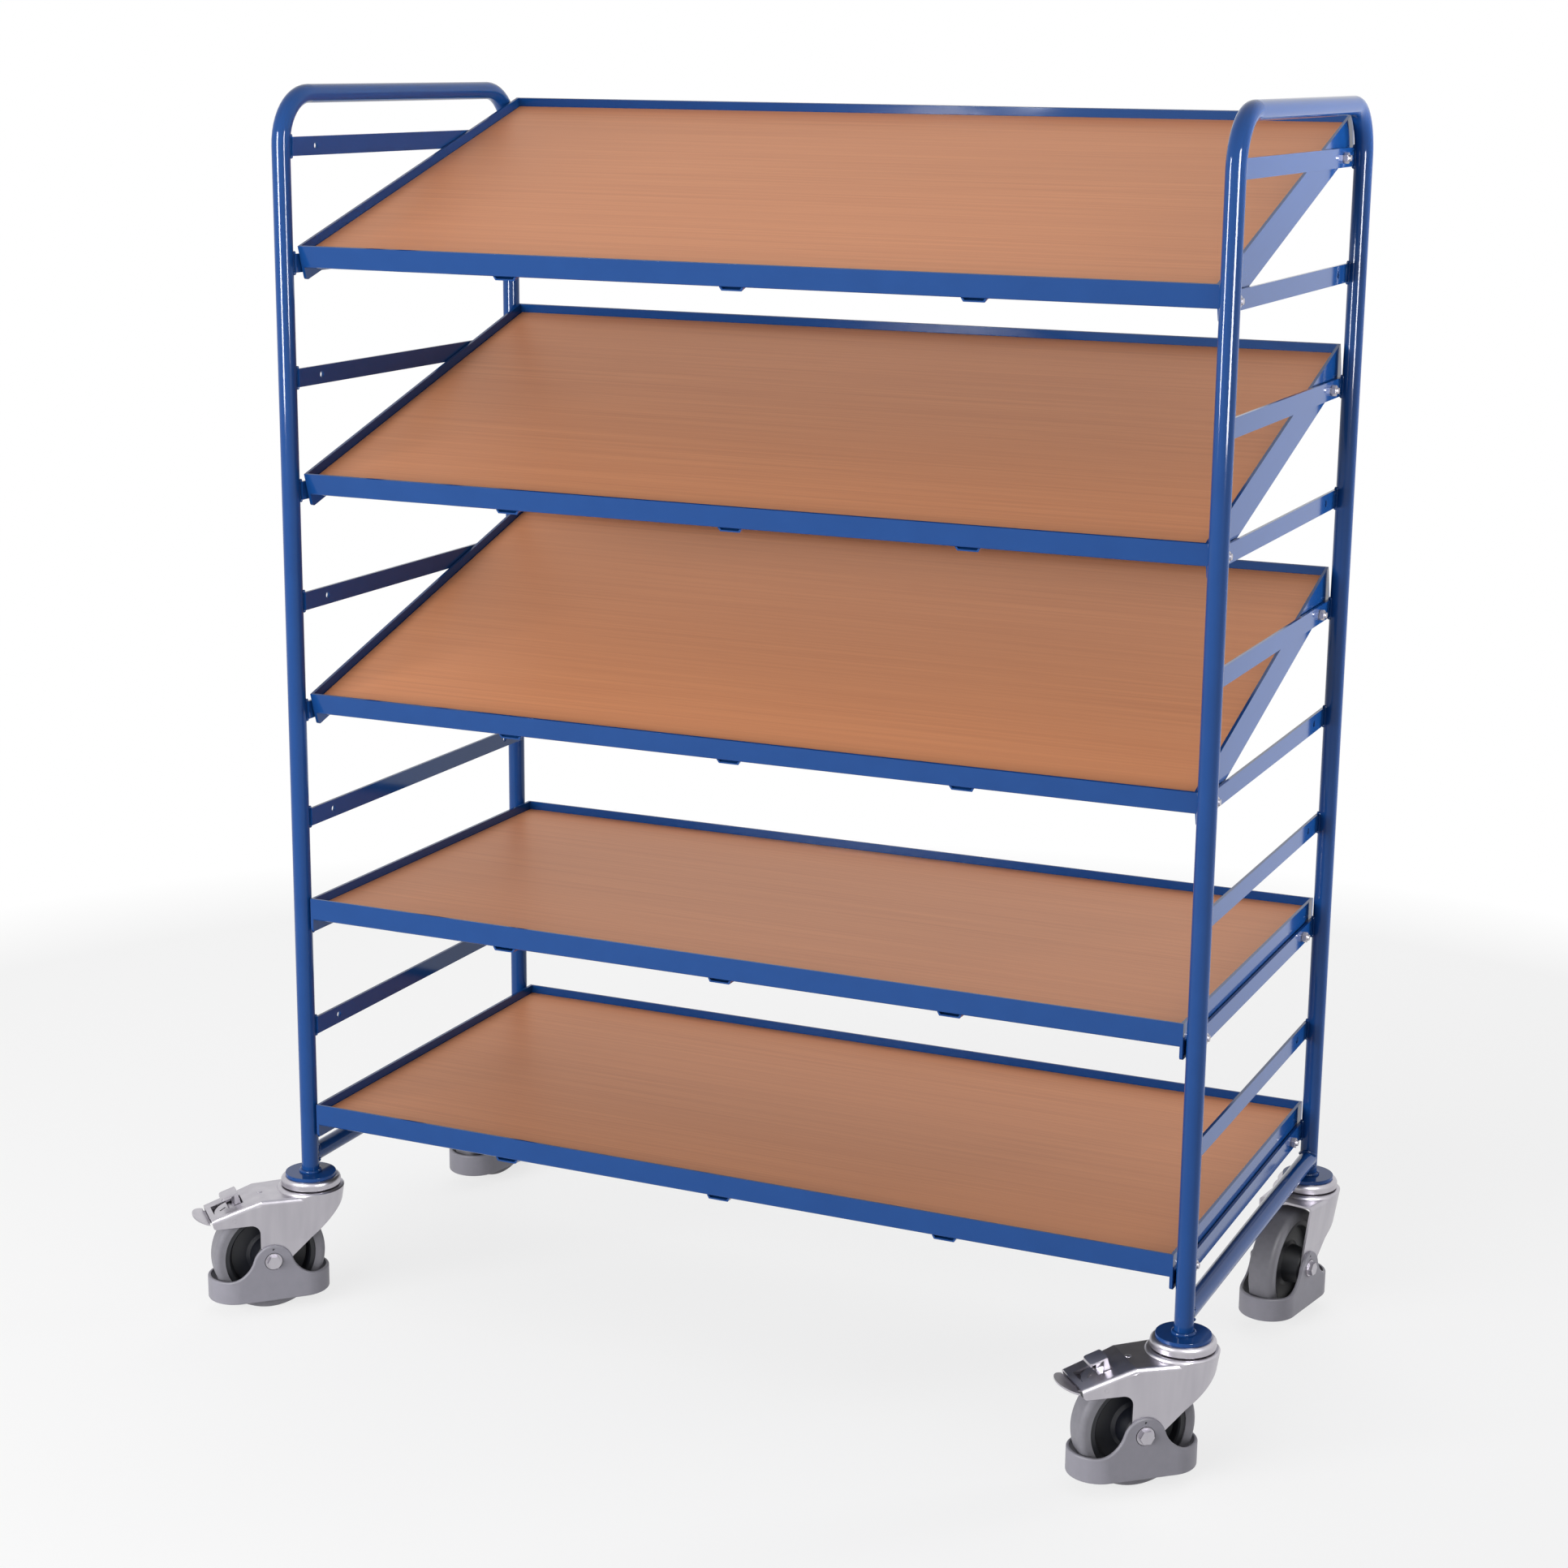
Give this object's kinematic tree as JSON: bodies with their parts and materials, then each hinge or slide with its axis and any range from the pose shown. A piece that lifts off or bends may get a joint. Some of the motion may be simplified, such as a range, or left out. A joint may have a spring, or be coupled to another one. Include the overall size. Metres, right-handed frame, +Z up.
{
  "type": "container trolley",
  "caption": "Rolling rack with bent-tube side frames, flat-bar rails and bolted wood-decked shelves, level or leaning, for euro containers, on braked swivel castors.",
  "frame": {"origin": "floor level, midway between the four posts", "axes": "X left to right, -Y the front the shelves lean towards, Z up"},
  "size_m": [1.4808, 0.7958, 1.715],
  "materials": {
    "blue_paint": "glossy blue powder coat",
    "zinc": "bright zinc plate",
    "wood": "satin beech decor",
    "tyre": "matt grey thermoplastic rubber",
    "core": "matt black plastic",
    "guard": "matt grey plastic",
    "bearing": "plain grey plastic cage"
  },
  "bodies": {
    "rack": {"left_side_tube": "blue_paint", "right_side_tube": "blue_paint", "left_side_rails": "blue_paint", "right_side_rails": "blue_paint", "bottom_tubes": "blue_paint", "foot_plates": "blue_paint", "shelf_1_frame": "blue_paint", "shelf_1_crossbars": "blue_paint", "shelf_1_board": "wood", "shelf_2_frame": "blue_paint", "shelf_2_crossbars": "blue_paint", "shelf_2_board": "wood", "shelf_3_frame": "blue_paint", "shelf_3_crossbars": "blue_paint", "shelf_3_board": "wood", "shelf_4_frame": "blue_paint", "shelf_4_crossbars": "blue_paint", "shelf_4_board": "wood", "shelf_5_frame": "blue_paint", "shelf_5_crossbars": "blue_paint", "shelf_5_board": "wood", "shelf_bolts": "zinc", "shelf_nuts": "zinc", "castor_top_races": "zinc", "castor_kingpins": "zinc", "castor_balls": "zinc"},
    "front_left_fork_body": {"front_left_fork": "zinc", "front_left_foot_guard": "guard", "front_left_axle": "zinc", "front_left_brake_pin": "zinc"},
    "front_left_wheel": {"front_left_tyre": "tyre", "front_left_wheel_core": "core", "front_left_wheel_bearing": "bearing"},
    "front_left_brake": {"front_left_brake_pedal": "zinc", "front_left_brake_shoe": "zinc"},
    "front_right_fork_body": {"front_right_fork": "zinc", "front_right_foot_guard": "guard", "front_right_axle": "zinc", "front_right_brake_pin": "zinc"},
    "front_right_wheel": {"front_right_tyre": "tyre", "front_right_wheel_core": "core", "front_right_wheel_bearing": "bearing"},
    "front_right_brake": {"front_right_brake_pedal": "zinc", "front_right_brake_shoe": "zinc"},
    "rear_left_fork_body": {"rear_left_fork": "zinc", "rear_left_foot_guard": "guard", "rear_left_axle": "zinc"},
    "rear_left_wheel": {"rear_left_tyre": "tyre", "rear_left_wheel_core": "core", "rear_left_wheel_bearing": "bearing"},
    "rear_right_fork_body": {"rear_right_fork": "zinc", "rear_right_foot_guard": "guard", "rear_right_axle": "zinc"},
    "rear_right_wheel": {"rear_right_tyre": "tyre", "rear_right_wheel_core": "core", "rear_right_wheel_bearing": "bearing"}
  },
  "joints": [
    {"name": "front_left_swivel", "type": "hinge", "parent": "rack", "child": "front_left_fork_body", "pos_m": [-0.65, -0.3075, 0.176], "axis": [0, 0, 1], "continuous": true},
    {"name": "front_left_wheel_spin", "type": "hinge", "parent": "front_left_fork_body", "child": "front_left_wheel", "pos_m": [-0.69596, -0.35346, 0.08], "axis": [0.7071, -0.7071, 0], "continuous": true},
    {"name": "front_left_brake_press", "type": "hinge", "parent": "front_left_fork_body", "child": "front_left_brake", "pos_m": [-0.73344, -0.39094, 0.14666], "axis": [0.7071, -0.7071, 0], "range_deg": [0, 10]},
    {"name": "front_right_swivel", "type": "hinge", "parent": "rack", "child": "front_right_fork_body", "pos_m": [0.65, -0.3075, 0.176], "axis": [0, 0, 1], "continuous": true},
    {"name": "front_right_wheel_spin", "type": "hinge", "parent": "front_right_fork_body", "child": "front_right_wheel", "pos_m": [0.60094, -0.35014, 0.08], "axis": [0.6561, -0.7547, 0], "continuous": true},
    {"name": "front_right_brake_press", "type": "hinge", "parent": "front_right_fork_body", "child": "front_right_brake", "pos_m": [0.56094, -0.38492, 0.14666], "axis": [0.6561, -0.7547, 0], "range_deg": [0, 10]},
    {"name": "rear_left_swivel", "type": "hinge", "parent": "rack", "child": "rear_left_fork_body", "pos_m": [-0.65, 0.3075, 0.176], "axis": [0, 0, 1], "continuous": true},
    {"name": "rear_left_wheel_spin", "type": "hinge", "parent": "rear_left_fork_body", "child": "rear_left_wheel", "pos_m": [-0.66351, 0.24392, 0.08], "axis": [0.9781, -0.2079, 0], "continuous": true},
    {"name": "rear_right_swivel", "type": "hinge", "parent": "rack", "child": "rear_right_fork_body", "pos_m": [0.65, 0.3075, 0.176], "axis": [0, 0, 1], "continuous": true},
    {"name": "rear_right_wheel_spin", "type": "hinge", "parent": "rear_right_fork_body", "child": "rear_right_wheel", "pos_m": [0.6376, 0.24369, 0.08], "axis": [0.9816, -0.1908, 0], "continuous": true}
  ]
}
